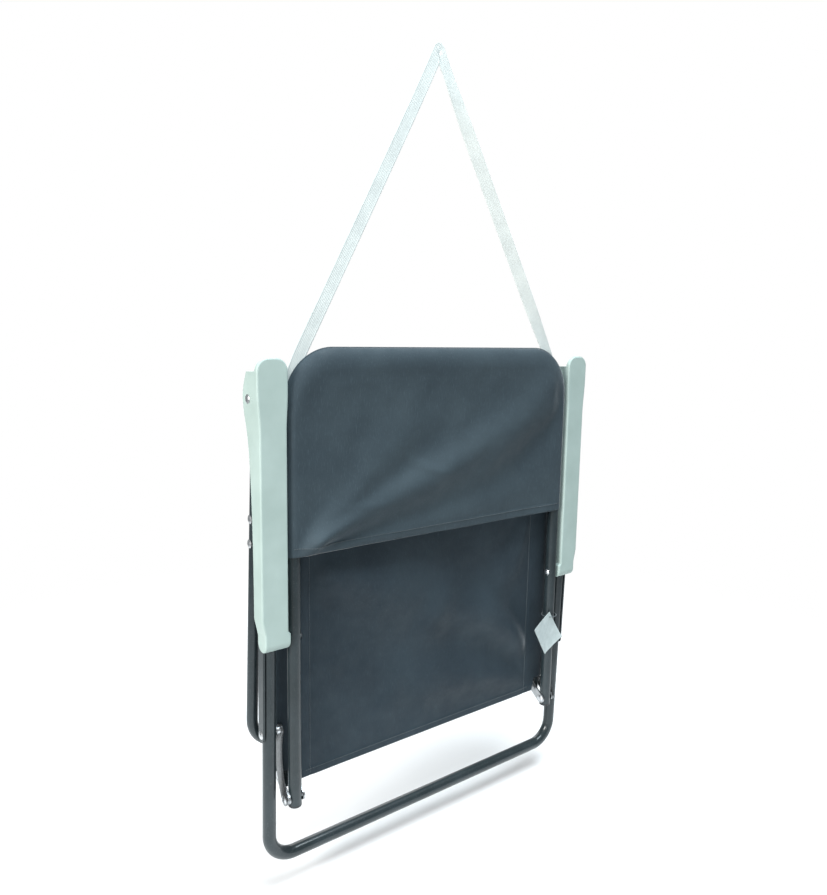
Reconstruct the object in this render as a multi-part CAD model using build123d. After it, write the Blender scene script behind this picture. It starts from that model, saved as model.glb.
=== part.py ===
"""Folding camp chair, folded flat and hanging from its carry strap.

Millimetres. X runs across the chair, +Y is the side that a sitter faces, +Z is up.
The side view is laid out from the seat hinge: y = 0, z = 0 there.
The finished model is then moved so that its origin is where a hook meets the strap.
"""

import os
from math import atan2, cos, degrees, hypot, sin

from build123d import *

# ---- tubes and sheet ----
BACK_TUBE = 19.0
LEG_TUBE = 16.0
WALL = 1.2
STEEL = 3.0
CLOTH = 1.4
RUNNING = 0.05  # radial clearance of a pin in a part that turns on it
GAP = 0.4  # between pieces that pass each other

# ---- widths: how far each part's middle is from the chair's middle plane ----
BACK_X = 256.0
RAIL_X = BACK_X
REAR_LEG_X = BACK_X + 32.0
FRONT_LEG_X = BACK_X + 41.8
LINK_X = BACK_X + 15.5

# ---- side view (y, z) of the folded chair, from the seat hinge ----
BACK_TOP = 620.5
BACK_BOTTOM = -10.0
BACK_BEND = 62.0
ARM_PIVOT = (0.0, 238.0)
ARM_FRONT_PIVOT = (16.0, 565.0)
LEG_SLOPE = 0.0673  # the front leg leans forward this much for each mm down
REAR_SLOPE = 0.0236
SEAT_FRONT_Z = 370.0
CROSS_Z = 404.0
FRONT_BAR_Z = 66.0
FRONT_BEND = 44.0
LINK_PIVOT = (13.64, 101.0)
REAR_BAR_Z = -98.0
REAR_TOP_Z = 385.0
REAR_BEND = 40.0


def on_front_leg(z):
    """The front leg's middle at a height."""
    return (ARM_FRONT_PIVOT[0] + LEG_SLOPE * (ARM_FRONT_PIVOT[1] - z), z)


def on_rear_leg(z):
    return (LINK_PIVOT[0] + REAR_SLOPE * (LINK_PIVOT[1] - z), z)


SEAT_FRONT = on_front_leg(SEAT_FRONT_Z)
CROSS_PIVOT = on_front_leg(CROSS_Z)
RAIL_Y = SEAT_FRONT[0]
RAIL_BOTTOM = 7.0
FORK_PIN = (RAIL_Y, 22.0)
FORK_X = (9.8, 12.3)  # the near and far faces of a fork plate, from the back tube's middle

# ---- pins ----
HINGE_R = 3.5
PIN_R = 3.0
HEAD = 1.9

# ---- soft parts ----
HEM_Z = 352.0
SLEEVE = 1.2
SLING = (10.0, 352.0)
SLING_T = 2.6
FORK_NOTCH = 21.0  # the sleeves start this much above the panel's lower edge
STRAP_W = 20.0
STRAP_T = 1.8
STRAP_FOOT = (250.0, 12.0, 556.0)
STRAP_BEND = (250.0, 12.0, 600.0)
STRAP_APEX = (0.0, 27.0, 1052.0)
STRAP_TIP_Z = 1066.0
HOOK_POINT = (0.0, 27.0, 1032.0)

# ---- armrest ----
ARM_FACE_Y = -12.0
ARM_WALL = 2.3
ARM_INNER = BACK_X + 13.5
ARM_OUTER = BACK_X + 52.5
ARM_HEEL_INNER = BACK_X + 9.9
ARM_FRONT_INNER = BACK_X + 11.4
ARM_FRONT_OUTER = BACK_X + 55.5
ARM_TOP = 618.0
ARM_FLANGE_TOP = 600.0
ARM_HEEL_R = 12.0
ARM_HEEL_Z = 250.0
ARM_HEEL_OUTER = BACK_X + 48.2
ARM_HEEL_SLANT = (272.0, 252.0)

DONE = Pos(-HOOK_POINT[0], -HOOK_POINT[1], -HOOK_POINT[2])
BOTH = (-1, 1)


def save(name, *solids):
    """Moves a sub-part to the hanging point's frame and writes it, one solid a piece."""
    moved = [DONE * s for shape in solids for s in shape.solids()]
    export_step(moved[0] if len(moved) == 1 else Compound(children=moved), f"parts/{name}.step")


def rod(x0, x1, at, r):
    """A cylinder along X between two x values, at a point (y, z) of the side view."""
    return Pos((x0 + x1) / 2, *at) * Rot(0, 90, 0) * Cylinder(r, abs(x1 - x0))


def ring(x0, x1, at, r, hole):
    return rod(x0, x1, at, r) - rod(x0, x1, at, hole)


def head(x, outward, at, r, high=HEAD):
    """A low domed rivet head that stands on the plane x and points outward (+1 or -1)."""
    dome_r = (r * r + high * high) / (2 * high)
    cap = (Pos(0, 0, high - dome_r) * Sphere(dome_r)) & (Pos(0, 0, high / 2) * Cylinder(r, high))
    return Pos(x, *at) * Rot(0, 90 * outward, 0) * cap


def side(s, inner, outer):
    """The two x values of a part that spans inner..outer on one side of the chair."""
    return tuple(sorted((s * inner, s * outer)))


def u_tube(half, bottom, top, bend, d, inverted=False):
    """A hollow U of tube in the XZ plane; inverted puts its bar at the top."""
    bar, free = (top, bottom) if inverted else (bottom, top)
    path = FilletPolyline((-half, 0, free), (-half, 0, bar), (half, 0, bar), (half, 0, free), radius=bend)
    start = Plane(origin=path @ 0, z_dir=path % 0)
    return sweep(start * (Circle(d / 2) - Circle(d / 2 - WALL)), path=path)


def leaning(at, slope, shape):
    """Puts a shape, built upright about 0, 0, at a side-view point with its top leaning back."""
    return Pos(0, *at) * Rot(degrees(atan2(slope, 1)), 0, 0) * shape


def plate(x0, x1, sketch):
    """A flat plate between two x values from a sketch drawn in (y, z)."""
    x0, x1 = sorted((x0, x1))
    return extrude(Plane(origin=(x0, 0, 0), x_dir=(0, 1, 0), z_dir=(1, 0, 0)) * sketch, x1 - x0)


# ---------------------------------------------------------------- back


def back_frame():
    """The inverted U that carries the backrest, drilled for its two pairs of hinges."""
    u = u_tube(BACK_X, BACK_BOTTOM, BACK_TOP, BACK_BEND, BACK_TUBE, inverted=True)
    for s in BOTH:
        u -= rod(*side(s, BACK_X - 15, BACK_X + 15), (0, 0), HINGE_R)
        u -= rod(*side(s, BACK_X - 15, BACK_X + 15), ARM_PIVOT, PIN_R)
    return u


def tube_plug(x, z, r, at_y=0.0):
    """A plastic end plug: a domed cap outside the tube and a stem inside it."""
    cap = Pos(0, 0, -1.0) * Cylinder(r + 0.1, 2.0)
    dome = (Pos(0, 0, -2.0) * scale(Sphere(r + 0.1), (1, 1, 0.3))) & (Pos(0, 0, -7.0) * Cylinder(r + 1, 10.0))
    stem = Pos(0, 0, 2.0) * Cylinder(r - WALL - 0.02, 4.0)
    return Pos(x, at_y, z) * (cap + dome + stem)


def cover_outline(grow):
    """The pocket's outline in the XZ plane: round upper corners and a straight hem."""
    half, top = BACK_X + BACK_TUBE / 2 + grow, BACK_TOP + BACK_TUBE / 2 + grow
    low = HEM_Z if grow > 1 else HEM_Z - 1.0
    sketch = Pos(0, (low + top) / 2) * Rectangle(2 * half, top - low)
    corners = sketch.vertices().filter_by_position(Axis.Y, top - 1, top + 1)
    return fillet(corners, BACK_BEND + BACK_TUBE / 2 + grow)


def back_cover():
    """A fabric pocket pulled down over the frame, open at its hem."""
    inside = BACK_TUBE / 2 + 0.1
    outer = extrude(Plane.XZ * cover_outline(CLOTH + 0.1), inside + CLOTH, both=True)
    return outer - extrude(Plane.XZ * cover_outline(0.1), inside, both=True)


def strap_half():
    """The left half of the strap: flat webbing from its sewn foot up to the middle fold."""
    foot, bend, apex = (Vector(-p[0], p[1], p[2]) for p in (STRAP_FOOT, STRAP_BEND, STRAP_APEX))
    run = apex - bend
    rise, lean, tilt = hypot(run.X, run.Z), atan2(run.X, run.Z), atan2(run.Y, hypot(run.X, run.Z))
    low = bend.Z - foot.Z
    sewn = Pos(foot.X, foot.Y, foot.Z + low / 2) * Box(STRAP_W, STRAP_T, low)
    leg = Pos(0, 0, rise / 2) * Box(STRAP_W, STRAP_T, rise + 2 * STRAP_W)
    leg = Pos(*bend) * Rot(0, degrees(lean), 0) * Rot(-degrees(tilt), 0, 0) * leg
    above = Pos(-250, 0, (bend.Z + STRAP_TIP_Z) / 2) * Box(500, 200, STRAP_TIP_Z - bend.Z)
    return sewn + (leg & above)


def carry_strap():
    """A webbing loop in an inverted V, sewn to the front of the cover near both corners."""
    left = strap_half()
    return left + mirror(left, about=Plane.YZ)


def strap_patch(s):
    """A stitched square that holds the strap's end on the cover."""
    y = STRAP_FOOT[1] + STRAP_T / 2 + 0.6
    return Pos(s * STRAP_FOOT[0], y, STRAP_FOOT[2] + 12) * Box(STRAP_W + 6, 1.2, 22)


TAG_SIZE = (63.0, 47.0)
TAG_AT = (BACK_X - 14.0, -BACK_TUBE / 2 - 1.6, 130.0)
TAG_HOLE = (-23.2, 17.4)
LOOP_AT = (BACK_X - 1.4, -2.38, 158.9)


def hang_tag():
    """A blank cloth label that hangs by a cord loop from the right side of the frame."""
    card = Box(TAG_SIZE[0], 1.0, TAG_SIZE[1])
    hole = Pos(TAG_HOLE[0], 0, TAG_HOLE[1]) * Rot(90, 0, 0) * Cylinder(2.0, 4)
    return Pos(*TAG_AT) * Rot(0, 58.0, 0) * (card - hole)


def tag_loop():
    """The loop that ties the tag to the back frame."""
    return Pos(*LOOP_AT) * Torus(13.0, 0.7)


# ---------------------------------------------------------------- hinge hardware


def seat_hinge_rivet(s):
    """The long rivet at the seat hinge, through the link, the seat's fork and the back frame."""
    inner, outer = BACK_X - FORK_X[1] - 0.2, LINK_X + STEEL / 2 + 0.2
    shank = rod(*side(s, inner, outer), (0, 0), HINGE_R)
    return shank + head(s * outer, s, (0, 0), 7.0) + head(s * inner, -s, (0, 0), 6.5)


def seat_hinge_washer(s):
    """The washer between the seat's fork and the link."""
    span = side(s, BACK_X + FORK_X[1] + 0.15, LINK_X - STEEL / 2 - 0.15)
    return ring(*span, (0, 0), 6.5, HINGE_R + 0.01)


def arm_rivet(s):
    """The rivet that hinges an armrest on the back frame."""
    inner, outer = BACK_X - BACK_TUBE / 2 - 0.05, BACK_X + 16.2
    shank = rod(*side(s, inner, outer), ARM_PIVOT, PIN_R)
    return shank + head(s * inner, -s, ARM_PIVOT, 5.5) + head(s * outer, s, ARM_PIVOT, 6.0)


# ---------------------------------------------------------------- seat


def seat_rail(s):
    """A straight rail in front of the back frame, up to the front bar that it is notched to fit."""
    top = SEAT_FRONT_Z - LEG_TUBE / 2 + 3.0
    long = top - RAIL_BOTTOM
    tube = Cylinder(LEG_TUBE / 2, long) - Cylinder(LEG_TUBE / 2 - WALL, long)
    tube = Pos(s * RAIL_X, RAIL_Y, (top + RAIL_BOTTOM) / 2) * tube
    tube -= rod(*side(s, RAIL_X - 20, RAIL_X + 20), SEAT_FRONT, LEG_TUBE / 2)
    return tube - rod(*side(s, RAIL_X - 20, RAIL_X + 20), FORK_PIN, PIN_R)


def rail_plug(s):
    return tube_plug(s * RAIL_X, RAIL_BOTTOM, LEG_TUBE / 2, at_y=RAIL_Y)


def fork_plates(s):
    """The two steel plates that carry a rail's lower end, one each side of the back tube."""
    flat = make_hull(Circle(7.5).edges() + (Pos(*FORK_PIN) * Circle(8.0)).edges())
    flat -= Circle(HINGE_R + RUNNING)
    flat -= Pos(*FORK_PIN) * Circle(PIN_R)
    near, far = FORK_X
    return [plate(s * BACK_X + e * near, s * BACK_X + e * far, flat) for e in BOTH]


def fork_rivet(s):
    """The rivet through a rail and both plates of its fork."""
    reach = FORK_X[1] + 0.05
    rivet = rod(s * BACK_X - reach, s * BACK_X + reach, FORK_PIN, PIN_R)
    for e in BOTH:
        rivet += head(s * BACK_X + e * reach, e, FORK_PIN, 5.5, high=1.3)
    return rivet


def fork_washers(s):
    """The two washers that centre a rail in its fork."""
    spans = [(LEG_TUBE / 2 + 0.02, FORK_X[0] - 0.02), (-FORK_X[0] + 0.02, -LEG_TUBE / 2 - 0.02)]
    return [ring(s * BACK_X + a, s * BACK_X + b, FORK_PIN, 5.0, PIN_R + 0.01) for a, b in spans]


def seat_front_bar():
    """The cross tube under the seat's front edge, pinned to both front legs."""
    end = FRONT_LEG_X - LEG_TUBE / 2 - GAP
    return ring(-end, end, SEAT_FRONT, LEG_TUBE / 2, LEG_TUBE / 2 - WALL)


def front_bar_plug(s):
    end = FRONT_LEG_X - LEG_TUBE / 2 - GAP
    return ring(*side(s, end - 20, end), SEAT_FRONT, LEG_TUBE / 2 - WALL - 0.02, PIN_R + 0.01)


def front_pivot_pin(s):
    """The pin that hinges a front leg on the end of the seat's front bar."""
    inner, outer = FRONT_LEG_X - LEG_TUBE / 2 - GAP - 18, FRONT_LEG_X + LEG_TUBE / 2 + 0.1
    return rod(*side(s, inner, outer), SEAT_FRONT, PIN_R) + head(s * outer, s, SEAT_FRONT, 6.0)


def seat_sling():
    """The seat's fabric: a flat panel over the rails with a sleeve round each of them."""
    r = LEG_TUBE / 2 + 0.2
    low, high = SLING
    long, middle = high - low, (low + high) / 2
    near = RAIL_Y - r - SLEEVE
    sling = Pos(0, near + SLING_T / 2, middle) * Box(2 * RAIL_X, SLING_T, long)
    for s in BOTH:
        sling += Pos(s * RAIL_X, RAIL_Y, middle) * Cylinder(r + SLEEVE, long)
    for s in BOTH:
        sling -= Pos(s * RAIL_X, RAIL_Y, middle) * Cylinder(r, long)
        sling -= Pos(s * RAIL_X, RAIL_Y, low) * Box(2 * FORK_X[1] + 2, 30, 2 * FORK_NOTCH)
    return sling


# ---------------------------------------------------------------- front leg


def front_leg_frame():
    """The front leg U, open end up, drilled for the arm, cross and seat pivots."""
    top, bottom = -4.5, (FRONT_BAR_Z - ARM_FRONT_PIVOT[1]) * hypot(1, LEG_SLOPE)
    u = u_tube(FRONT_LEG_X, bottom, top, FRONT_BEND, LEG_TUBE)
    u = leaning(ARM_FRONT_PIVOT, LEG_SLOPE, u)
    for s in BOTH:
        span = side(s, FRONT_LEG_X - 12, FRONT_LEG_X + 12)
        u -= rod(*span, SEAT_FRONT, PIN_R + RUNNING)
        u -= rod(*span, CROSS_PIVOT, PIN_R)
    return u


def front_leg_cap(s):
    """A round-ended plug in the top of a front leg; the armrest's front pivot is in it."""
    r = LEG_TUBE / 2
    plug = Sphere(r) & (Pos(0, 0, 6) * Cylinder(r + 1, 12))
    plug += Pos(0, 0, -2.2) * Cylinder(r, 4.4)
    plug += Pos(0, 0, -9.4) * Cylinder(r - WALL - 0.02, 10.0)
    placed = leaning(ARM_FRONT_PIVOT, LEG_SLOPE, Pos(s * FRONT_LEG_X, 0, 0) * plug)
    return placed - rod(*side(s, FRONT_LEG_X - 12, FRONT_LEG_X + 12), ARM_FRONT_PIVOT, 2.0)


def front_leg_stub(s):
    """The short pin in the leg's top plug, on the armrest's front pivot line."""
    return rod(*side(s, FRONT_LEG_X - LEG_TUBE / 2 + 1, FRONT_LEG_X + LEG_TUBE / 2 - 1), ARM_FRONT_PIVOT, 2.0)


TONGUE_X = (BACK_X + 29.4, BACK_X + 33.4)


def cross_rivet(s):
    """The rivet where a front leg and a rear leg cross."""
    inner, outer = TONGUE_X[0] - 0.2, FRONT_LEG_X + LEG_TUBE / 2 + 0.1
    shank = rod(*side(s, inner, outer), CROSS_PIVOT, PIN_R)
    return shank + head(s * outer, s, CROSS_PIVOT, 6.0) + head(s * inner, -s, CROSS_PIVOT, 6.0)


# ---------------------------------------------------------------- rear leg

REAR_TOP = (REAR_TOP_Z - LINK_PIVOT[1]) * hypot(1, REAR_SLOPE)
STIFF_X = (BACK_X + 41.6, BACK_X + 44.6)
STIFF_SPAN = (-10.0, 234.0)
STIFF_RIVET = 222.0
TONGUE_RIVETS = (246.0, 268.0)


def in_rear_leg(shape):
    return leaning(LINK_PIVOT, REAR_SLOPE, shape)


def rear_leg_frame():
    """The rear leg U, whose bar is the lowest part of the folded chair."""
    bottom = (REAR_BAR_Z - LINK_PIVOT[1]) * hypot(1, REAR_SLOPE)
    u = u_tube(REAR_LEG_X, bottom, REAR_TOP, REAR_BEND, BACK_TUBE)
    for s in BOTH:
        span = side(s, REAR_LEG_X - 12, REAR_LEG_X + 12)
        u -= rod(*span, (0, 0), PIN_R)
        u -= rod(*span, (0, STIFF_RIVET), 2.0)
        for z in TONGUE_RIVETS:
            u -= rod(*span, (0, z), 2.0)
    return in_rear_leg(u)


def rear_leg_tongue(s):
    """The steel tongue in the leg's open top that reaches forward to the crossing."""
    turn = atan2(REAR_SLOPE, 1)
    dy, dz = CROSS_PIVOT[0] - LINK_PIVOT[0], CROSS_PIVOT[1] - LINK_PIVOT[1]
    eye = (dy * cos(turn) + dz * sin(turn), dz * cos(turn) - dy * sin(turn))
    flat = Pos(0, 263) * Rectangle(15.4, 50)
    flat += make_hull((Pos(*eye) * Circle(9.0)).edges() + (Pos(0, 288.5) * Circle(7.7)).edges())
    flat -= Pos(*eye) * Circle(PIN_R + RUNNING)
    for z in TONGUE_RIVETS:
        flat -= Pos(0, z) * Circle(2.0)
    return in_rear_leg(plate(s * TONGUE_X[0], s * TONGUE_X[1], flat))


def rear_leg_bar(s):
    """The flat steel bar riveted down the outside of a rear leg."""
    low, high = STIFF_SPAN
    flat = Pos(0, (low + high) / 2) * Rot(0, 0, 90) * SlotOverall(high - low, 14.0)
    flat -= Circle(PIN_R)
    flat -= Pos(0, STIFF_RIVET) * Circle(2.0)
    return in_rear_leg(plate(s * STIFF_X[0], s * STIFF_X[1], flat))


def link_rivet(s):
    """The rivet through bar and leg at the link's upper pivot."""
    inner, outer = LINK_X + STEEL / 2 + 0.3, STIFF_X[1] + 0.05
    shank = rod(*side(s, inner, outer), (0, 0), PIN_R)
    return in_rear_leg(shank + head(s * outer, s, (0, 0), 6.0))


def small_leg_rivets(s):
    """The bar's upper rivet and the two that hold the tongue."""
    out = [rod(*side(s, REAR_LEG_X - 9.4, STIFF_X[1] + 0.05), (0, STIFF_RIVET), 2.0)]
    out[0] += head(s * (STIFF_X[1] + 0.05), s, (0, STIFF_RIVET), 3.6)
    for z in TONGUE_RIVETS:
        out.append(rod(*side(s, REAR_LEG_X - 9.4, REAR_LEG_X + 9.4), (0, z), 2.0))
    return [in_rear_leg(r) for r in out]


def link_spacer(s):
    """The bush that keeps the link clear of the rear leg."""
    span = side(s, LINK_X + STEEL / 2 + 0.3, REAR_LEG_X - BACK_TUBE / 2 - 0.05)
    return in_rear_leg(ring(*span, (0, 0), 6.0, PIN_R + 0.01))


# ---------------------------------------------------------------- links

LINK_BULGE = 10.0
LINK_W = 15.0


def link(s):
    """A curved flat link that bulges forward between the rear leg and the seat hinge."""
    dy, dz = LINK_PIVOT
    long = hypot(dy, dz)
    middle = (dy / 2 + LINK_BULGE * dz / long, dz / 2 - LINK_BULGE * dy / long)
    flat = SlotArc(ThreePointArc((0, 0), middle, LINK_PIVOT), height=LINK_W)
    flat -= Circle(HINGE_R + RUNNING)
    flat -= Pos(*LINK_PIVOT) * Circle(PIN_R)
    return plate(s * (LINK_X - STEEL / 2), s * (LINK_X + STEEL / 2), flat)


def link_stub(s):
    """The rivet half that stays with the link at its upper pivot."""
    inner = LINK_X - STEEL / 2 - 0.05
    shank = rod(*side(s, inner, LINK_X + STEEL / 2), LINK_PIVOT, PIN_R)
    return shank + head(s * inner, -s, LINK_PIVOT, 6.5)


# ---------------------------------------------------------------- armrests


def arm_plan(inset):
    """The armrest's face seen from behind, in (x, z), shrunk by a wall thickness."""
    heel, low, waist = ARM_HEEL_INNER + inset, ARM_INNER + inset, ARM_OUTER - inset
    front_in, front_out = ARM_FRONT_INNER + inset, ARM_FRONT_OUTER - inset
    bottom, top = ARM_PIVOT[1] - ARM_HEEL_R - 4 * inset, ARM_TOP - inset
    corner = 17.0 - inset
    narrow = ARM_HEEL_OUTER - inset
    slant_top, slant_low = ARM_HEEL_SLANT
    edge = [
        Line((heel, bottom), (heel, ARM_HEEL_Z - 2)),
        Line((heel, ARM_HEEL_Z - 2), (low, ARM_HEEL_Z + 2)),
        Line((low, ARM_HEEL_Z + 2), (low, 520)),
        Spline((low, 520), (front_in, 575), tangents=((0, 1), (0, 1))),
        Line((front_in, 575), (front_in, top - corner)),
        ThreePointArc((front_in, top - corner), (front_in + 0.293 * corner, top - 0.293 * corner),
                      (front_in + corner, top)),
        Line((front_in + corner, top), (front_out - corner, top)),
        ThreePointArc((front_out - corner, top), (front_out - 0.293 * corner, top - 0.293 * corner),
                      (front_out, top - corner)),
        Line((front_out, top - corner), (front_out, 580)),
        Spline((front_out, 580), (waist, 520), tangents=((0, -1), (0, -1))),
        Line((waist, 520), (waist, slant_top)),
        Line((waist, slant_top), (narrow, slant_low)),
        Line((narrow, slant_low), (narrow, bottom)),
        Line((narrow, bottom), (heel, bottom)),
    ]
    return make_face(edge)


def arm_side():
    """The armrest's walls seen from the side, in (y, z): deepest round the front pivot."""
    face, (py, pz) = ARM_FACE_Y, ARM_PIVOT
    edge = [
        Line((face, ARM_TOP), (face, pz)),
        ThreePointArc((face, pz), (py - 0.7071 * ARM_HEEL_R, pz - 0.7071 * ARM_HEEL_R), (py, pz - ARM_HEEL_R)),
        ThreePointArc((py, pz - ARM_HEEL_R), (py + 0.7071 * ARM_HEEL_R, pz - 0.7071 * ARM_HEEL_R),
                      (py + ARM_HEEL_R, pz)),
        Line((py + ARM_HEEL_R, pz), (12.0, 300.0)),
        Spline((12.0, 300.0), (17.0, 460.0), (24.0, 515.0), (31.0, 551.0), (26.0, 585.0), (19.0, ARM_FLANGE_TOP),
               tangents=((0, 1), (-0.5, 1))),
        Line((19.0, ARM_FLANGE_TOP), (face + 7, ARM_FLANGE_TOP + 1)),
        Line((face + 7, ARM_FLANGE_TOP + 1), (face + 4.0, ARM_TOP)),
        Line((face + 4.0, ARM_TOP), (face, ARM_TOP)),
    ]
    return make_face(edge)


def arm_hollow():
    """The channel inside the armrest, open at the front, in (y, z)."""
    inner = ARM_FACE_Y + ARM_WALL
    py, pz = ARM_PIVOT
    r = ARM_HEEL_R - ARM_WALL
    edge = [
        Line((inner, ARM_FLANGE_TOP - ARM_WALL), (inner, pz)),
        ThreePointArc((inner, pz), (py - 0.7071 * r, pz - 0.7071 * r), (py, pz - r)),
        Line((py, pz - r), (py, pz - 30)),
        Line((py, pz - 30), (80, pz - 30)),
        Line((80, pz - 30), (80, ARM_FLANGE_TOP - ARM_WALL)),
        Line((80, ARM_FLANGE_TOP - ARM_WALL), (inner, ARM_FLANGE_TOP - ARM_WALL)),
    ]
    return make_face(edge)


def arm_plan_solid(inset):
    return extrude(Plane(origin=(0, 0, 0), x_dir=(1, 0, 0), z_dir=(0, -1, 0)) * arm_plan(inset), 90, both=True)


def armrest_right():
    """A moulded channel: broad flat face behind, walls towards the legs, boss on the pivot."""
    outer = plate(ARM_HEEL_INNER - 5, ARM_FRONT_OUTER + 5, arm_side()) & arm_plan_solid(0)
    outer = fillet(outer.faces().sort_by(Axis.Y)[0].edges(), 2.6)
    hollow = plate(ARM_HEEL_INNER - 5, ARM_FRONT_OUTER + 5, arm_hollow()) & arm_plan_solid(ARM_WALL)
    channel = outer - hollow
    channel += rod(ARM_HEEL_INNER, BACK_X + 16.0, ARM_PIVOT, 8.5)
    channel -= rod(ARM_HEEL_INNER - 2, BACK_X + 18.0, ARM_PIVOT, PIN_R + RUNNING)
    return channel - rod(BACK_X + 40, BACK_X + 60, ARM_FRONT_PIVOT, PIN_R)


def arm_front_rivet(s):
    """The rivet half that stays with the armrest at its front pivot."""
    inner, outer = FRONT_LEG_X + LEG_TUBE / 2 + 0.6, BACK_X + 55.5
    shank = rod(*side(s, inner, outer), ARM_FRONT_PIVOT, PIN_R)
    return shank + head(s * outer, s, ARM_FRONT_PIVOT, 6.0)


# ---------------------------------------------------------------- write

os.makedirs("parts", exist_ok=True)

save("back_frame", back_frame())
save("back_frame_plugs", *(tube_plug(s * BACK_X, BACK_BOTTOM, BACK_TUBE / 2) for s in BOTH))
save("back_cover", back_cover())
save("carry_strap", carry_strap())
save("strap_patches", *(strap_patch(s) for s in BOTH))
save("hang_tag", hang_tag())
save("tag_loop", tag_loop())
save("seat_hinge_rivets", *(seat_hinge_rivet(s) for s in BOTH))
save("seat_hinge_washers", *(seat_hinge_washer(s) for s in BOTH))
save("arm_rivets", *(arm_rivet(s) for s in BOTH))

save("seat_rail_left", seat_rail(-1))
save("seat_rail_right", seat_rail(1))
save("rail_plugs", *(rail_plug(s) for s in BOTH))
save("fork_left", *fork_plates(-1))
save("fork_right", *fork_plates(1))
save("fork_rivets", *(fork_rivet(s) for s in BOTH))
save("fork_washers", *(w for s in BOTH for w in fork_washers(s)))
save("seat_front_bar", seat_front_bar())
save("front_bar_plugs", *(front_bar_plug(s) for s in BOTH))
save("front_pivot_pins", *(front_pivot_pin(s) for s in BOTH))
save("seat_sling", seat_sling())

save("front_leg_frame", front_leg_frame())
save("front_leg_caps", *(front_leg_cap(s) for s in BOTH))
save("front_leg_stubs", *(front_leg_stub(s) for s in BOTH))
save("cross_rivets", *(cross_rivet(s) for s in BOTH))

save("rear_leg_frame", rear_leg_frame())
for word, s in (("left", -1), ("right", 1)):
    save(f"rear_leg_tongue_{word}", rear_leg_tongue(s))
    save(f"rear_leg_bar_{word}", rear_leg_bar(s))
    save(f"link_{word}", link(s))
    save(f"link_{word}_stub", link_stub(s))
    save(f"armrest_{word}_rivet", arm_front_rivet(s))
save("link_rivets", *(link_rivet(s) for s in BOTH))
save("link_spacers", *(link_spacer(s) for s in BOTH))
save("small_leg_rivets", *(r for s in BOTH for r in small_leg_rivets(s)))

right = armrest_right()
save("armrest_right", right)
save("armrest_left", mirror(right, about=Plane.YZ))
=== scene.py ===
"""Looks of the folding camp chair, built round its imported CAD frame.

Lengths in the layout below are millimetres from the seat hinge, the layout that the CAD source uses:
x across the chair, y towards the side a sitter faces, z up. at() turns them into the frame's metres.
"""

import math

import bmesh
import bpy
import numpy as np
from mathutils import Matrix, Vector


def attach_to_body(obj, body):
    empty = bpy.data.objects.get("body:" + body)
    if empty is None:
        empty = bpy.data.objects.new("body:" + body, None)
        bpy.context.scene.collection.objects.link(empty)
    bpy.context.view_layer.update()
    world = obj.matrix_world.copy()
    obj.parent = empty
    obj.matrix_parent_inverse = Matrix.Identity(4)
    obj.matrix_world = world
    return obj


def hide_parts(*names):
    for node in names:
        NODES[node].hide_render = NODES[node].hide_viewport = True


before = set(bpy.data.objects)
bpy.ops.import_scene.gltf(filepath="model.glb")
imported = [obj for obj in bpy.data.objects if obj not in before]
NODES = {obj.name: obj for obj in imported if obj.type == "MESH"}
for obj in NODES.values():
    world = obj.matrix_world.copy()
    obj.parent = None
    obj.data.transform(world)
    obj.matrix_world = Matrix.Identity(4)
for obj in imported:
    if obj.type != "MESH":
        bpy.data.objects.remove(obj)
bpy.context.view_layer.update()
HOOK = (0.0, 27.0, 1032.0)      # where the strap hangs, the frame's origin


def at(x, y, z):
    """Layout millimetres as a point of the frame, in metres."""
    return Vector(((x - HOOK[0]) / 1000, (y - HOOK[1]) / 1000, (z - HOOK[2]) / 1000))


# ---------------------------------------------------------------- camera

CAMERA_AT = (-721.95, -874.13, 647.85)
CAMERA_YAW, CAMERA_PITCH, CAMERA_ROLL = 37.34, -8.445, 0.954
CAMERA_LENS = 30.138


def add_camera():
    """The viewpoint: from behind the chair's left side, a little above its middle."""
    yaw, pitch, roll = (math.radians(a) for a in (CAMERA_YAW, CAMERA_PITCH, CAMERA_ROLL))
    level = math.cos(pitch)
    forward = Vector((math.sin(yaw) * level, math.cos(yaw) * level, math.sin(pitch)))
    right = Vector((math.cos(yaw), -math.sin(yaw), 0.0))
    up = right.cross(forward)
    c, s = math.cos(roll), math.sin(roll)
    right, up = right * c + up * s, up * c - right * s
    camera = bpy.data.objects.new("camera", bpy.data.cameras.new("camera"))
    camera.data.lens = CAMERA_LENS
    camera.matrix_world = Matrix((right, up, -forward)).transposed().to_4x4()
    camera.location = at(*CAMERA_AT)
    bpy.context.scene.collection.objects.link(camera)
    bpy.context.scene.camera = camera


add_camera()

# ---------------------------------------------------------------- materials

BAND_SCALE = 0.31416            # a wave texture's scale times the distance between its bands
THREAD_PITCH = 0.0011


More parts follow.
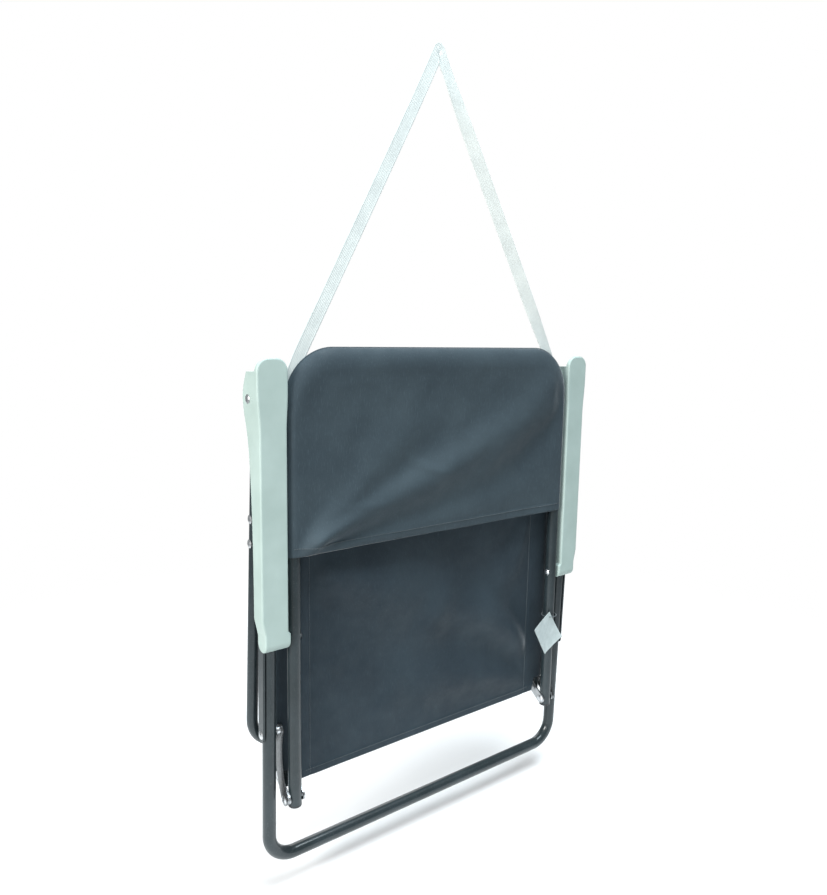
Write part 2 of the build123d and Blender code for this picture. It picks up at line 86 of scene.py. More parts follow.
class Shader:
    """A Principled material with short helpers for the nodes that feed it."""

    def __init__(self, name, **sockets):
        self.material = bpy.data.materials.new(name)
        self.material.use_nodes = True
        self.tree = self.material.node_tree
        self.bsdf = self.tree.nodes["Principled BSDF"]
        self.coords = self.tree.nodes.new("ShaderNodeTexCoord").outputs["Object"]
        for socket, value in sockets.items():
            self.bsdf.inputs[socket.replace("_", " ")].default_value = value

    def node(self, kind, links=(), **settings):
        made = self.tree.nodes.new(kind)
        for key, value in settings.items():
            if hasattr(made, key):
                setattr(made, key, value)
            else:
                made.inputs[key.replace("_", " ")].default_value = value
        for socket, source in dict(links).items():
            self.tree.links.new(source, made.inputs[socket])
        return made

    def noise(self, size, detail, stretch=(1, 1, 1)):
        """Noise whose features are about size metres across."""
        scale = [s / size for s in stretch]
        scaled = self.node("ShaderNodeMapping", {"Vector": self.coords}, Scale=scale)
        links = {"Vector": scaled.outputs[0]}
        made = self.node("ShaderNodeTexNoise", links, Scale=1.0, Detail=detail)
        return made.outputs["Fac"]

    def wave(self, size, axis, source=None):
        """Bands size metres apart along an axis."""
        links = {"Vector": source or self.coords}
        made = self.node("ShaderNodeTexWave", links, Scale=BAND_SCALE / size)
        made.bands_direction = axis
        return made.outputs["Fac"]

    def math(self, operation, a, b):
        made = self.node("ShaderNodeMath", operation=operation)
        for socket, value in zip(made.inputs, (a, b)):
            if isinstance(value, (int, float)):
                socket.default_value = value
            else:
                self.tree.links.new(value, socket)
        return made.outputs[0]

    def span(self, value, low, high, new_low=0.0, new_high=1.0):
        made = self.node("ShaderNodeMapRange", {"Value": value})
        ends = {"From Min": low, "From Max": high, "To Min": new_low, "To Max": new_high}
        for socket, number in ends.items():
            made.inputs[socket].default_value = number
        return made.outputs[0]

    def mix(self, fac, a, b):
        """A mix of two colours, or of a colour and what another node gives."""
        made = self.node("ShaderNodeMix", data_type="RGBA")
        for socket, value in ((made.inputs[0], fac), (made.inputs[6], a), (made.inputs[7], b)):
            if isinstance(value, (int, float)):
                socket.default_value = value
            elif isinstance(value, tuple):
                socket.default_value = (*value, 1.0)
            else:
                self.tree.links.new(value, socket)
        return made.outputs[2]

    def colour(self, source):
        self.tree.links.new(source, self.bsdf.inputs["Base Color"])

    def rough(self, source):
        self.tree.links.new(source, self.bsdf.inputs["Roughness"])

    def bump(self, *layers):
        """Stacks (height, strength, metres) layers of bump."""
        normal = None
        for height, strength, distance in layers:
            links = {"Height": height}
            if normal is not None:
                links["Normal"] = normal
            made = self.node("ShaderNodeBump", links, Strength=strength, Distance=distance)
            normal = made.outputs[0]
        self.tree.links.new(normal, self.bsdf.inputs["Normal"])
        return self.material


def painted_tube():
    """Graphite powder coat: fine orange peel, faint mottling and scattered paler specks."""
    s = Shader("graphite_powder_coat", Metallic=0.1, Specular_IOR_Level=0.3, Coat_Weight=0.5,
               Coat_Roughness=0.1)
    mottle = s.span(s.noise(0.05, 4), 0.35, 0.7)
    base = s.mix(mottle, (0.012, 0.02, 0.023), (0.022, 0.033, 0.038))
    specks = s.span(s.noise(0.0012, 2), 0.62, 0.72)
    s.colour(s.mix(s.math("MULTIPLY", specks, 0.35), base, (0.16, 0.18, 0.19)))
    s.rough(s.span(s.noise(0.03, 5), 0.3, 0.7, 0.3, 0.42))
    return s.bump((s.noise(0.0022, 2), 0.12, 0.0004), (s.noise(0.0006, 1), 0.1, 0.0002))


def zinc(name, tone, grain):
    """Zinc plating: bright at tone 1, slightly mottled, with drawn grain; a lower tone darkens its
    colour.
    """
    s = Shader(name, Metallic=1.0)
    tint = tuple(c * tone for c in (0.8, 0.82, 0.84))
    s.colour(s.mix(s.span(s.noise(0.006, 4), 0.35, 0.7), tint, tuple(c * 0.8 for c in tint)))
    s.rough(s.span(s.noise(0.002, 3, stretch=grain), 0.3, 0.7, 0.2, 0.42))
    return s.bump((s.noise(0.0008, 3, stretch=grain), 0.2, 0.0003))


def moulded(name, dark, light):
    """Moulded plastic with a fine spark-eroded grain."""
    s = Shader(name)
    s.colour(s.mix(s.span(s.noise(0.04, 3), 0.3, 0.7), dark, light))
    s.rough(s.span(s.noise(0.01, 4), 0.3, 0.7, 0.42, 0.55))
    return s.bump((s.noise(0.0009, 2), 0.14, 0.0003), (s.noise(0.012, 2), 0.05, 0.001))


def oxford(name, dark, light):
    """Plain-woven polyester: crossed threads, slubs and soft blotches, with a faint sheen."""
    s = Shader(name, Sheen_Weight=0.42, Sheen_Roughness=0.28, Specular_IOR_Level=0.25)
    weave = s.math("MAXIMUM", s.wave(THREAD_PITCH, "X"), s.wave(THREAD_PITCH, "Z"))
    blotch = s.span(s.noise(0.09, 4), 0.35, 0.68)
    base = s.mix(blotch, dark, light)
    slub = s.span(s.noise(0.0012, 2, stretch=(1, 1, 0.12)), 0.55, 0.75)
    base = s.mix(s.math("MULTIPLY", slub, 0.35), base, tuple(c * 1.7 for c in light))
    s.colour(s.mix(s.span(weave, 0.2, 1.0, 0.35, 0.0), base, (0.004, 0.006, 0.01)))
    s.rough(s.span(s.noise(0.02, 3), 0.3, 0.7, 0.6, 0.78))
    return s.bump((weave, 0.35, 0.0003), (s.noise(0.005, 3), 0.15, 0.0006),
                  (s.noise(0.03, 3), 0.2, 0.002))


def thread(name, dark, light):
    """Twisted sewing thread."""
    s = Shader(name, Sheen_Weight=0.2)
    s.colour(s.mix(s.span(s.noise(0.002, 2), 0.3, 0.7), dark, light))
    s.rough(s.span(s.noise(0.003, 2), 0.3, 0.7, 0.5, 0.7))
    return s.bump((s.wave(0.0005, "DIAGONAL"), 0.3, 0.0002))


def webbing():
    """Pale polypropylene webbing with ribs along its length and a twill across them."""
    s = Shader("webbing_pale", Sheen_Weight=0.3, Sheen_Roughness=0.5)
    uv = s.node("ShaderNodeUVMap").outputs[0]
    ribs = s.wave(0.0022, "X", uv)
    twill = s.wave(0.0016, "DIAGONAL", uv)
    blotch = s.span(s.noise(0.03, 3), 0.35, 0.7)
    base = s.mix(blotch, (0.62, 0.665, 0.65), (0.70, 0.745, 0.725))
    s.colour(s.mix(s.span(ribs, 0.0, 0.5, 0.3, 0.0), base, (0.5, 0.55, 0.53)))
    s.rough(s.span(s.noise(0.004, 2), 0.3, 0.7, 0.6, 0.75))
    return s.bump((ribs, 0.5, 0.0004), (twill, 0.35, 0.0003))


def label_cloth():
    """A white woven label."""
    s = Shader("label_white", Sheen_Weight=0.2)
    s.colour(s.mix(s.span(s.noise(0.01, 3), 0.35, 0.7), (0.4, 0.47, 0.47), (0.5, 0.57, 0.57)))
    weave = s.math("MULTIPLY", s.wave(0.0007, "X"), s.wave(0.0007, "Z"))
    s.rough(s.span(s.noise(0.004, 2), 0.3, 0.7, 0.5, 0.65))
    return s.bump((weave, 0.25, 0.0002))


TUBE = painted_tube()
ZINC = zinc("zinc_rivet", 1.0, (1, 1, 1))
ZINC_PLATE = zinc("zinc_plate", 0.6, (1, 1, 0.15))
# The links and rear-leg tongues get the zinc at about a quarter of the rivets' tone: painted shade on
# plates that sit between the tubes.
SHADED_ZINC = zinc("zinc_painted_shade", 0.26, (1, 1, 0.15))
PLUG = moulded("plug_black", (0.012, 0.012, 0.014), (0.022, 0.023, 0.025))
ARM = moulded("arm_mint", (0.355, 0.45, 0.42), (0.40, 0.50, 0.47))
BACK_CLOTH = oxford("oxford_back", (0.038, 0.057, 0.070), (0.050, 0.073, 0.087))
# The seat's oxford is the back's cloth in darker tones: painted shade for the sling, which lies
# behind the back cover.
SLING_SHADED_CLOTH = oxford("oxford_sling_shaded", (0.021, 0.034, 0.045), (0.030, 0.047, 0.060))
THREAD = thread("thread_grey", (0.05, 0.065, 0.075), (0.08, 0.1, 0.11))
PALE_THREAD = thread("thread_pale", (0.55, 0.66, 0.62), (0.65, 0.76, 0.72))
WEBBING = webbing()
LABEL = label_cloth()

FINISH = {
    TUBE: ["back_frame", "seat_rail_left", "seat_rail_right", "seat_front_bar", "front_leg_frame",
           "rear_leg_frame", "rear_leg_bar_left", "rear_leg_bar_right"],
    ZINC: ["seat_hinge_rivets", "arm_rivets", "front_pivot_pins", "cross_rivets", "front_leg_stubs",
           "link_rivets", "link_left_stub", "link_right_stub", "armrest_left_rivet",
           "armrest_right_rivet", "small_leg_rivets", "seat_hinge_washers", "fork_rivets",
           "fork_washers", "link_spacers"],
    ZINC_PLATE: ["fork_left", "fork_right"],
    # Links and tongues take the darkened zinc, painted shade.
    SHADED_ZINC: ["link_left", "link_right", "rear_leg_tongue_left", "rear_leg_tongue_right"],
    PLUG: ["back_frame_plugs", "rail_plugs", "front_bar_plugs", "front_leg_caps"],
    ARM: ["armrest_left", "armrest_right"],
    THREAD: ["tag_loop"],
}
for material, names in FINISH.items():
    for name in names:
        NODES[name].data.materials.clear()
        NODES[name].data.materials.append(material)

# ---------------------------------------------------------------- layout

BACK_X = 256.0                  # the back tube's middle line: its sides, top and bend
BACK_TOP = 620.5
BACK_BEND = 62.0
CORNER_X, CORNER_Z = BACK_X - BACK_BEND, BACK_TOP - BACK_BEND
HEM_Z = 352.0
COVER_R = 10.7                  # from that line to the cover's outer face
RAIL_Y = 29.12
SLING = (10.0, 352.0)           # the sling's hems
SLEEVE_R = 9.0
STITCH_X = 219.0
FORK_NOTCH = 21.0               # how far the sleeves are cut back for the forks
STRAP_W = 20.0
STRAP_T = 1.8
TAG_SIZE = (63.0, 47.0)
TAG_AT = (BACK_X - 14.0, -11.1, 130.0)
TAG_TURN = 58.0

# These differ from the CAD, to follow the photograph: sleeves looser outwards, a right strap leg
# turned about its length, and a strap route that ends 9 mm higher.
SLEEVE_SLACK = 6.0
STRAP_TWIST = 0.55
STRAP_ROUTE = [(250, 12, 556), (250, 12, 582), (249, 12, 602), (212.5, 14.2, 668),
               (60, 23.4, 945), (4, 26.7, 1050), (0, 27, 1061)]

CLOTH = 0.0009                  # thickness in metres
LABEL_CLOTH = 0.0006
HEM_DEEP = 16                   # the finely meshed band above a hem

# Folds, each as start, end, sag, then widths and heights at its start, middle and end.
COVER_FOLDS = [
    ((-256, 356), (262, 588), 24, (10, 30, 34), (8.0, 10.5, 8.0)),
    ((-256, 356), (30, 470), -6, (7, 17, 26), (7.0, 7.0, 2.0)),
    ((-256, 358), (-40, 560), 10, (8, 26, 36), (6.5, 6.0, 1.5)),
    ((-256, 354), (150, 400), 10, (5, 14, 22), (4.5, 5.0, 1.0)),
    ((-70, 470), (10, 440), 3, (5, 7, 6), (0.5, 1.5, 0.6)),
    ((-190, 414), (-100, 408), 2, (5, 6, 5), (0.4, 0.9, 0.4)),
    ((40, 400), (258, 540), -14, (14, 24, 20), (1.0, 4.8, 4.0)),
]
SEAT_FOLDS = [
    ((220, 96), (-20, 210), 30, (16, 34, 50), (15.0, 13.0, 5.0)),
    ((222, 24), (-90, 110), 16, (12, 38, 50), (12.0, 13.0, 5.0)),
    ((-216, 318), (40, 200), -8, (16, 50, 66), (9.0, 13.0, 6.0)),
    ((214, 336), (120, 190), -16, (10, 26, 34), (8.0, 6.0, 2.0)),
]

# A stitch, as share of its length, lift and width; and how many sides its thread has.
STITCH_SHAPE = ((0, -0.4, 0.5), (0.22, 0.3, 0.95), (0.5, 0.5, 1), (0.78, 0.3, 0.95), (1, -0.4, 0.5))
STITCH_SIDES = 6
ROUGH_TURN = 6.3                # about one turn, in radians

# ---------------------------------------------------------------- mesh helpers


def smooth(value, low, high):
    """0 below low, 1 above high, and a smooth step between."""
    t = np.clip((value - low) / (high - low), 0.0, 1.0)
    return t * t * (3 - 2 * t)


def grid_mesh(name, points, material, closed_u=False, uv=None):
    """A mesh from a rows x columns x 3 array in layout millimetres; columns may close into a loop."""
    rows, cols = points.shape[:2]
    index = np.arange(rows * cols).reshape(rows, cols)
    right = np.roll(index, -1, axis=1)
    last = cols if closed_u else cols - 1
    corners = [index[:-1, :last], right[:-1, :last], right[1:, :last], index[1:, :last]]
    faces = np.stack(corners, -1).reshape(-1, 4)
    mesh = bpy.data.meshes.new(name)
    flat = (points.reshape(-1, 3) - np.array(HOOK)) / 1000
    mesh.from_pydata(flat.tolist(), [], faces.tolist())
    if uv is not None:
        layer = mesh.uv_layers.new(name="UVMap")
        loops = np.zeros(len(mesh.loops), int)
        mesh.loops.foreach_get("vertex_index", loops)
        each = uv.reshape(-1, 2)[loops] / 1000
        layer.data.foreach_set("uv", each.astype(np.float32).ravel())
    return add_object(name, mesh, material)


def add_object(name, mesh, material):
    mesh.materials.append(material)
    mesh.shade_smooth()
    made = bpy.data.objects.new(name, mesh)
    bpy.context.scene.collection.objects.link(made)
    return made


def bake(obj, *modifiers):
    """Adds modifiers given as (type, settings), then applies them all."""
    for kind, settings in modifiers:
        modifier = obj.modifiers.new(kind.lower(), kind)
        for key, value in settings.items():
            setattr(modifier, key, value)
    graph = bpy.context.evaluated_depsgraph_get()
    mesh = bpy.data.meshes.new_from_object(obj.evaluated_get(graph))
    obj.modifiers.clear()
    obj.data = mesh
    mesh.shade_smooth()
    return obj


def stitches(name, path, out, pitch, material, thick):
    """Lockstitch: a short plump thread every pitch along a path, on the side out points to."""
    path = np.asarray(path, float)
    steps = np.linalg.norm(np.diff(path, axis=0), axis=1)
    along = np.concatenate([[0], np.cumsum(steps)])
    count = max(2, int(along[-1] / pitch))
    starts = (np.arange(count) + 0.12) * along[-1] / count
    reach = 0.76 * along[-1] / count
    verts, faces = [], []
    ring = STITCH_SIDES
    last = (len(STITCH_SHAPE) - 1) * ring
    for start in starts:
        ends = [np.array([np.interp(start + share * reach, along, path[:, k]) for k in range(3)])
                for share, _, _ in STITCH_SHAPE]
        axis = ends[-1] - ends[0]
        axis /= np.linalg.norm(axis)
        up = np.asarray(out, float) - axis * np.dot(out, axis)
        up /= np.linalg.norm(up)
        cross = np.cross(axis, up)
        base = len(verts)
        for centre, (_, lift, size) in zip(ends, STITCH_SHAPE):
            for k in range(ring):
                a = 2 * math.pi * k / ring
                rise = up * thick * (lift + size * math.sin(a))
                verts.append(centre + rise + cross * thick * size * math.cos(a))
        for j in range(0, last, ring):
            for k in range(ring):
                p, q = base + j + k, base + j + (k + 1) % ring
                faces.append((p, q, q + ring, p + ring))
        faces.append(tuple(base + k for k in reversed(range(ring))))
        faces.append(tuple(base + last + k for k in range(ring)))
    mesh = bpy.data.meshes.new(name)
    mesh.from_pydata(((np.array(verts) - np.array(HOOK)) / 1000).tolist(), [], faces)
    return add_object(name, mesh, material)


def points_inwards(obj):
    """True if the mesh's normals point inwards."""
    centre = sum((v.co for v in obj.data.vertices), Vector()) / len(obj.data.vertices)
    return sum((p.center - centre).dot(p.normal) * p.area for p in obj.data.polygons) < 0


def seam_cord(name, path, radius):
    """A thin rolled seam along a path."""
    curve = bpy.data.curves.new(name, "CURVE")
    curve.dimensions = "3D"
    curve.bevel_depth = radius / 1000
    curve.bevel_resolution = 2
    spline = curve.splines.new("POLY")
    spline.points.add(len(path) - 1)
    for point, place in zip(spline.points, path):
        point.co = (*at(*place), 1)
    holder = bpy.data.objects.new(name, curve)
    bpy.context.scene.collection.objects.link(holder)
    mesh = bpy.data.meshes.new_from_object(holder)
    bpy.data.objects.remove(holder)
    return add_object(name, mesh, BACK_CLOTH)


def cap_ends(obj, ring):
    """Closes a tube mesh's two open ends."""
    mesh = obj.data
    made = bmesh.new()
    made.from_mesh(mesh)
    made.verts.ensure_lookup_table()
    total = len(made.verts)
    made.faces.new([made.verts[i] for i in range(ring)][::-1])
    made.faces.new([made.verts[i] for i in range(total - ring, total)])
    bmesh.ops.recalc_face_normals(made, faces=made.faces)
    made.to_mesh(mesh)
    made.free()
    mesh.shade_smooth()


def attach(obj, body, slot, *nodes):
    """The piece stands for CAD nodes, which it hides, and rides on a body; slot is not used."""
    if nodes:
        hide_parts(*nodes)
    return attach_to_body(obj, body)


# ---------------------------------------------------------------- back cover


def outside_frame(x, z):
    """How far a point of the cover lies outside the back tube's middle line."""
    side = np.abs(x) - BACK_X
    top = z - BACK_TOP
    corner = np.hypot(np.abs(x) - CORNER_X, z - CORNER_Z) - BACK_BEND
    return np.where(z <= CORNER_Z, side, np.where(np.abs(x) <= CORNER_X, top, corner))


def half_width(z, grow):
    """Half the width at height z of the back tube's middle line, grown outwards by grow."""
    rise = np.clip(z - CORNER_Z, 0, None)
    bend = np.sqrt(np.clip((BACK_BEND + grow) ** 2 - rise**2, 0, None))
    return np.where(z <= CORNER_Z, BACK_X + grow, CORNER_X + bend)


def ridge(x, z, start, end, sag, width, height):
    """A soft fold from one point to another; its width and height each run start, middle, end."""
    ax, az = start
    dx, dz = end[0] - ax, end[1] - az
    long = math.hypot(dx, dz)
    u = ((x - ax) * dx + (z - az) * dz) / long**2
    d = ((z - az) * dx - (x - ax) * dz) / long + sag * 4 * u * (1 - u)
    keys = (0, 0.5, 1)
    sigma, tall = np.interp(u, keys, width), np.interp(u, keys, height)
    ends = smooth(u, -0.06, 0.08) * (1 - smooth(u, 0.9, 1.06))
    trough = 0.35 * np.exp(-(((d + 1.9 * sigma) / (1.1 * sigma)) ** 2))
    return tall * ends * (np.exp(-((d / sigma) ** 2)) - trough)


def ripple(x, z, seed, size, count=9):
    """Gentle random waves of about a given size, the same each run."""
    random = np.random.default_rng(seed)
    total = np.zeros_like(x)
    for angle, phase, scale in random.random((count, 3)):
        wave = size * (0.7 + scale)
        turn = angle * ROUGH_TURN
        across = x * math.cos(turn) + z * math.sin(turn)
        total += np.sin(across * 2 * math.pi / wave + phase * ROUGH_TURN)
    return total / count


def cover_folds(x, z):
    """How far the rear face stands out towards the rear, in millimetres."""
    folds = sum(ridge(x, z, *fold) for fold in COVER_FOLDS)
    return folds + 2.2 * ripple(x, z, 4, 170) + ripple(x, z, 9, 60) + 0.3 * ripple(x, z, 12, 24)


def cover_points():
    """The pocket as rows of closed loops: along the rear from left to right, then back in front."""
    over = np.linspace(0, math.pi / 2, 34)[1:]
    z = np.concatenate([np.linspace(HEM_Z, HEM_Z + HEM_DEEP, 9),
                        np.linspace(HEM_Z + HEM_DEEP, CORNER_Z, 62)[1:],
                        CORNER_Z + (BACK_BEND + COVER_R) * np.sin(over)])
    edge, flat = half_width(z, COVER_R), half_width(z, 0)
    half = np.concatenate([np.linspace(0, 1, 60), 1 + np.linspace(0, 1, 12)[1:]])
    round_edge = np.sin(np.clip(half[None] - 1, 0, 1) * math.pi / 2)
    x = np.where(half[None] <= 1, half[None] * flat[:, None],
                 flat[:, None] + (edge - flat)[:, None] * round_edge)
    x = np.concatenate([-x[:, ::-1], x[:, 1:]], 1)
    zz = np.broadcast_to(z[:, None], x.shape)
    roll = 20.0 * smooth(zz, 530, 612)
    beyond = np.clip((outside_frame(x, zz) + roll) / (COVER_R + roll), 0, 1)
    depth = (COVER_R + 0.18 * roll) * np.sqrt(1 - beyond**2)
    inside = smooth(-outside_frame(x, zz), -2, 34)
    hem = 1.1 * (1 - smooth(zz, HEM_Z + 12.0, HEM_Z + 13.6))
    hem = hem * smooth(-outside_frame(x, zz), 3, 8)
    rear = -depth - inside * cover_folds(x, zz) + inside * 1.2 - hem
    front = depth + inside * (ripple(x, zz, 21, 130) - 0.8) + hem
    rear_loop = np.stack([x, rear, zz], -1)
    front_loop = np.stack([x, front, zz], -1)[:, ::-1][:, 1:-1]
    return np.concatenate([rear_loop, front_loop], 1), rear_loop


def add_back_cover():
    points, rear = cover_points()
    cover = grid_mesh("cover_cloth", points, BACK_CLOTH, closed_u=True)
    bake(cover, ("WELD", {"merge_threshold": 0.00002}),
         ("SOLIDIFY", {"thickness": CLOTH, "offset": 1.0 if points_inwards(cover) else -1.0}))
    row = int(np.argmin(np.abs(rear[:, 0, 2] - (HEM_Z + 11.5))))
    line = rear[row, 8:-8] - (0, 0.35, 0)
    seam = stitches("cover_hem_stitches", line, (0, -1, 0), 3.4, THREAD, 0.4)
    crest = np.concatenate([rear[8:, 0], rear[-1, 1:-1], rear[::-1, -1][:-8]])
    corner = seam_cord("cover_side_piping", crest, 1.1)
    attach(cover, "back", "back_cloth", "back_cover")
    for piece in (seam, corner):
        attach(piece, "back", "back_cloth")


# ---------------------------------------------------------------- seat sling


def sling_profile():
    """The sling's section: stitch line, round the right rail, the panel, then the same at the left.

    Also how many points come before the panel, which is as many as come after it.
    """
    turn = np.linspace(math.pi / 2, -math.pi / 2, 15)
    right = np.stack([BACK_X + (SLEEVE_R + SLEEVE_SLACK) * np.cos(turn),
                      RAIL_Y + SLEEVE_R * np.sin(turn)], -1)
    near = RAIL_Y - SLEEVE_R
    share = np.linspace(0, 1, 9)[:-1]
    lift = np.interp(share, (0, 0.15, 1), (near + 1.3, near + 3.0, RAIL_Y + SLEEVE_R))
    back = np.stack([np.linspace(STITCH_X, BACK_X, 9)[:-1], lift], -1)
    panel_x = np.linspace(BACK_X, -BACK_X, 130)[1:-1]
    panel = np.stack([panel_x, np.full_like(panel_x, near)], -1)
    left = right[::-1] * (-1, 1)
    whole = np.concatenate([back, right, panel, left, back[::-1] * (-1, 1)])
    return whole, len(back) + len(right)


def add_seat_sling():
    profile, lead = sling_profile()
    low, high = SLING
    z = np.concatenate([np.linspace(low, low + HEM_DEEP, 9),
                        np.linspace(low + HEM_DEEP, high, 70)[1:]])
    x = np.broadcast_to(profile[None, :, 0], (len(z), len(profile))).copy()
    y = np.broadcast_to(profile[None, :, 1], x.shape).copy()
    zz = np.broadcast_to(z[:, None], x.shape).copy()
    column = np.arange(x.shape[1])
    panel = (column >= lead) & (column < x.shape[1] - lead)
    inner = panel[None] * (1 - smooth(np.abs(x), STITCH_X - 38, STITCH_X + 14))
    slack = 3.2 * (1 - (x / STITCH_X) ** 2) * (0.6 + 0.4 * np.cos((zz - 180) / 120))
    folds = sum(ridge(x, zz, *fold) for fold in SEAT_FOLDS)
    steady = 0.2 + 0.8 * smooth(zz, low + 4, low + 70)
    long_waves, short_waves = 2.0 * ripple(x, zz, 31, 150), 0.6 * ripple(x, zz, 33, 55)
    y += inner * steady * (slack - folds + long_waves + short_waves)
    groove = panel[None] * np.exp(-(((np.abs(x) - STITCH_X) / 2.2) ** 2))
    beside = np.exp(-(((np.abs(x) - STITCH_X - 9) / 7) ** 2))
    y += 0.9 * groove + panel[None] * 0.5 * np.sin(zz / 14.0) * beside
    y -= panel[None] * 0.8 * (1 - smooth(zz, low + 11.5, low + 13.0))
    notch = smooth(np.abs(x), BACK_X - 15.5, BACK_X - 12.5) * (np.abs(x) > BACK_X - 15.5)
    zz = zz + notch * np.clip(low + FORK_NOTCH - zz, 0, None)
    points = np.stack([x, y, zz], -1)
    # The sling takes the darker oxford, painted shade.
    sling = grid_mesh("seat_cloth", points, SLING_SHADED_CLOTH)
    bake(sling, ("SOLIDIFY", {"thickness": CLOTH, "offset": 0.0}))
    pieces = []
    for side in (-1, 1):
        nearest = int(np.argmin(np.abs(x[0] - side * STITCH_X) + 1000 * ~panel))
        line = points[2:-1, nearest] - (0, 0.55, 0)
        name = f"seat_side_stitches_{'left' if side < 0 else 'right'}"
        pieces.append(stitches(name, line, (0, -1, 0), 3.6, THREAD, 0.45))
    row = int(np.argmin(np.abs(z - (low + 9.5))))
    line = points[row, panel][6:-6] - (0, 0.55, 0)
    pieces.append(stitches("seat_hem_stitches", line, (0, -1, 0), 3.6, THREAD, 0.45))
    attach(sling, "seat", "seat_cloth", "seat_sling")
    for piece in pieces:
        attach(piece, "seat", "seat_cloth")


# ---------------------------------------------------------------- carry strap


def strap_line():
    """The strap's middle line, read from one smooth spline over the route, foot to foot."""
    whole = [(-x, y, z) for x, y, z in STRAP_ROUTE[:-1]] + [STRAP_ROUTE[-1]] + STRAP_ROUTE[-2::-1]
    curve = bpy.data.curves.new("strap_route", "CURVE")
    curve.dimensions = "3D"
    curve.resolution_u = 14
    spline = curve.splines.new("NURBS")
    spline.points.add(len(whole) - 1)
    for point, place in zip(spline.points, whole):
        point.co = (*at(*place), 1)
    spline.order_u = 3
    spline.use_endpoint_u = True
    holder = bpy.data.objects.new("strap_route", curve)
    mesh = bpy.data.meshes.new_from_object(holder)
    line = np.array([v.co for v in mesh.vertices]) * 1000 + np.array(HOOK)
    bpy.data.objects.remove(holder)
    bpy.data.meshes.remove(mesh)
    return line


def add_strap():
    """Flat webbing with rounded selvedges, its right leg turned; each leg is kept to its own side."""
    line = strap_line()
    tangent = np.gradient(line, axis=0)
    tangent /= np.linalg.norm(tangent, axis=1)[:, None]
    across = np.cross((0, 1, 0), tangent)
    across /= np.linalg.norm(across, axis=1)[:, None]
    face = np.cross(tangent, across)
    high = smooth(line[:, 2], 610, 720) * (1 - smooth(line[:, 2], 930, 1030))
    twist = np.where(line[:, 0] > 0, STRAP_TWIST * high, 0)[:, None]
    c, s = np.cos(twist), np.sin(twist)
    across, face = across * c + face * s, face * c - across * s
    half, thick = STRAP_W / 2, STRAP_T / 2
    plump = 0.95
    shape = [(-half, 0), (-half + 0.3, 0.6), (-half + 1.0, plump), (-half + 1.8, 0.8), (-4, 0.9),
             (4, 0.9), (half - 1.8, 0.8), (half - 1.0, plump), (half - 0.3, 0.6)]
    shape = shape + [(half, 0)] + [(u, -v) for u, v in shape[:0:-1]]
    along = np.concatenate([[0], np.cumsum(np.linalg.norm(np.diff(line, axis=0), axis=1))])
    points = np.stack([line + across * u + face * v * thick / plump for u, v in shape], 1)
    side = np.sign(line[:, 0])[:, None]
    reach = points[..., 0]
    points[..., 0] = np.where(side < 0, np.minimum(reach, -0.0), np.maximum(reach, 0.0))
    wide = np.array([u for u, _ in shape])
    uv = np.stack(np.broadcast_arrays(wide[None], along[:, None]), -1)
    strap = grid_mesh("strap_webbing", points, WEBBING, closed_u=True, uv=uv)
    cap_ends(strap, len(shape))
    pieces = []
    foot = STRAP_ROUTE[0]
    crossed_box = ((-8, 3), (8, 3), (8, 23), (-8, 23), (-8, 3), (8, 23), (8, 3), (-8, 23))
    for word, sign in (("left", -1), ("right", 1)):
        box = [(sign * (foot[0] + u), foot[1] + thick + 0.2, foot[2] + v) for u, v in crossed_box]
        pieces.append(stitches(f"strap_stitches_{word}", box, (0, 1, 0), 2.6, PALE_THREAD, 0.45))
    attach(strap, "back", "webbing", "carry_strap", "strap_patches")
    for piece in pieces:
        attach(piece, "back", "webbing")


# ---------------------------------------------------------------- tag


def add_tag():
    """A blank woven label with a heat-cut border, a little curled, hung by one corner."""
    wide, tall = TAG_SIZE
    u, v = np.meshgrid(np.linspace(-1, 1, 41), np.linspace(-1, 1, 31))
    px, pz = u * wide / 2, v * tall / 2
    curl = -1.6 * (u * 0.7 + v * 0.7) ** 2 + 0.5 * np.sin(u * 2.2 + v)
    border = 0.25 * (smooth(np.abs(u), 0.9, 0.93) + smooth(np.abs(v), 0.87, 0.9))
    y = np.minimum(curl, 0.6) - border
    turn = math.radians(TAG_TURN)
    x = px * math.cos(turn) + pz * math.sin(turn)
    z = -px * math.sin(turn) + pz * math.cos(turn)
    points = np.stack([TAG_AT[0] + x, TAG_AT[1] + y, TAG_AT[2] + z], -1)
    tag = grid_mesh("tag_label", points, LABEL)
    bake(tag, ("SOLIDIFY", {"thickness": LABEL_CLOTH, "offset": 0.0}), ("SUBSURF", {"levels": 1}))
    attach(tag, "back", "label", "hang_tag")


add_back_cover()
add_seat_sling()
add_strap()
add_tag()

# ---------------------------------------------------------------- stage

WORLD_LIGHT = 0.3
FLOOR_Z = -150.0


def area_light(name, location, target, size, power, colour=(1, 1, 1)):
    lamp = bpy.data.lights.new(name, "AREA")
    lamp.size, lamp.energy, lamp.color = size, power, colour
    holder = bpy.data.objects.new(name, lamp)
    holder.location = at(*location)
    holder.rotation_mode = "QUATERNION"
    holder.rotation_quaternion = (at(*target) - at(*location)).to_track_quat("-Z", "Y")
    bpy.context.scene.collection.objects.link(holder)


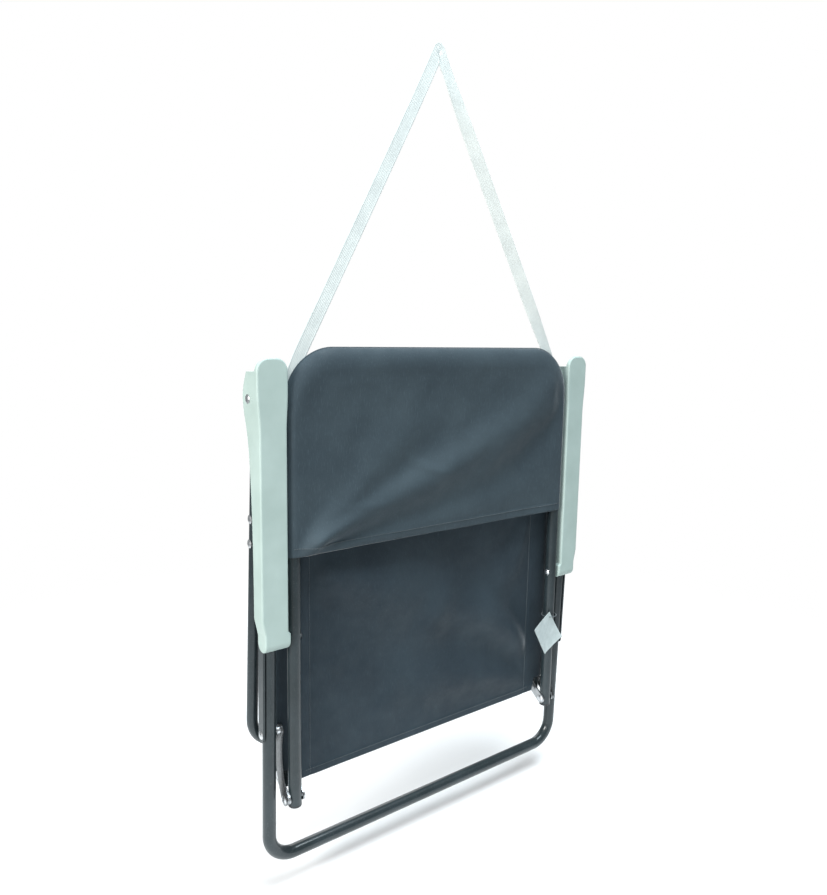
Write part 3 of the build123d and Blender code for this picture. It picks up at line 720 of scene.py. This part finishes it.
def add_stage():
    """A pale floor that fades out, lamps at the left, above and behind, and a surround.

    The camera sees the surround as white, but it lights the chair at only WORLD_LIGHT of that.
    """
    world = bpy.data.worlds.new("studio")
    world.use_nodes = True
    nodes, links = world.node_tree.nodes, world.node_tree.links
    background = nodes["Background"]
    background.inputs[0].default_value = (0.94, 0.98, 1.0, 1.0)
    background.inputs[1].default_value = WORLD_LIGHT
    backdrop = nodes.new("ShaderNodeBackground")
    backdrop.inputs[0].default_value = (1.0, 1.0, 1.0, 1.0)
    seen = nodes.new("ShaderNodeLightPath")
    mixed = nodes.new("ShaderNodeMixShader")
    links.new(seen.outputs["Is Camera Ray"], mixed.inputs[0])
    links.new(background.outputs[0], mixed.inputs[1])
    links.new(backdrop.outputs[0], mixed.inputs[2])
    links.new(mixed.outputs[0], nodes["World Output"].inputs[0])
    bpy.context.scene.world = world
    bpy.ops.mesh.primitive_circle_add(vertices=96, radius=1.6, fill_type="NGON",
                                      location=at(0, 27, FLOOR_Z))
    floor = bpy.context.object
    floor.name = "floor"
    s = Shader("floor_pale", Roughness=0.9, Specular_IOR_Level=0.1)
    s.colour(s.mix(s.noise(0.3, 2), (0.85, 0.85, 0.85), (0.87, 0.87, 0.87)))
    distance = s.node("ShaderNodeVectorMath", {0: s.coords}, operation="LENGTH").outputs["Value"]
    clear = s.node("ShaderNodeBsdfTransparent")
    fade = s.node("ShaderNodeMixShader", {0: s.span(distance, 0.35, 1.5), 1: s.bsdf.outputs[0],
                                          2: clear.outputs[0]})
    s.tree.links.new(fade.outputs[0], s.tree.nodes["Material Output"].inputs[0])
    floor.data.materials.append(s.material)
    area_light("key", (-2500, -520, 1150), (0, 0, 300), 0.9, 76, (1.0, 0.985, 0.96))
    area_light("top", (200, -760, 3400), (0, 0, 300), 2.0, 172, (0.84, 0.94, 1.0))
    area_light("low_left", (-1500, -1900, 500), (0, 0, 150), 0.4, 7)
    area_light("rear", (700, 2200, 1400), (0, 0, 300), 1.8, 24)


add_stage()
bpy.context.scene.view_settings.view_transform = "Standard"
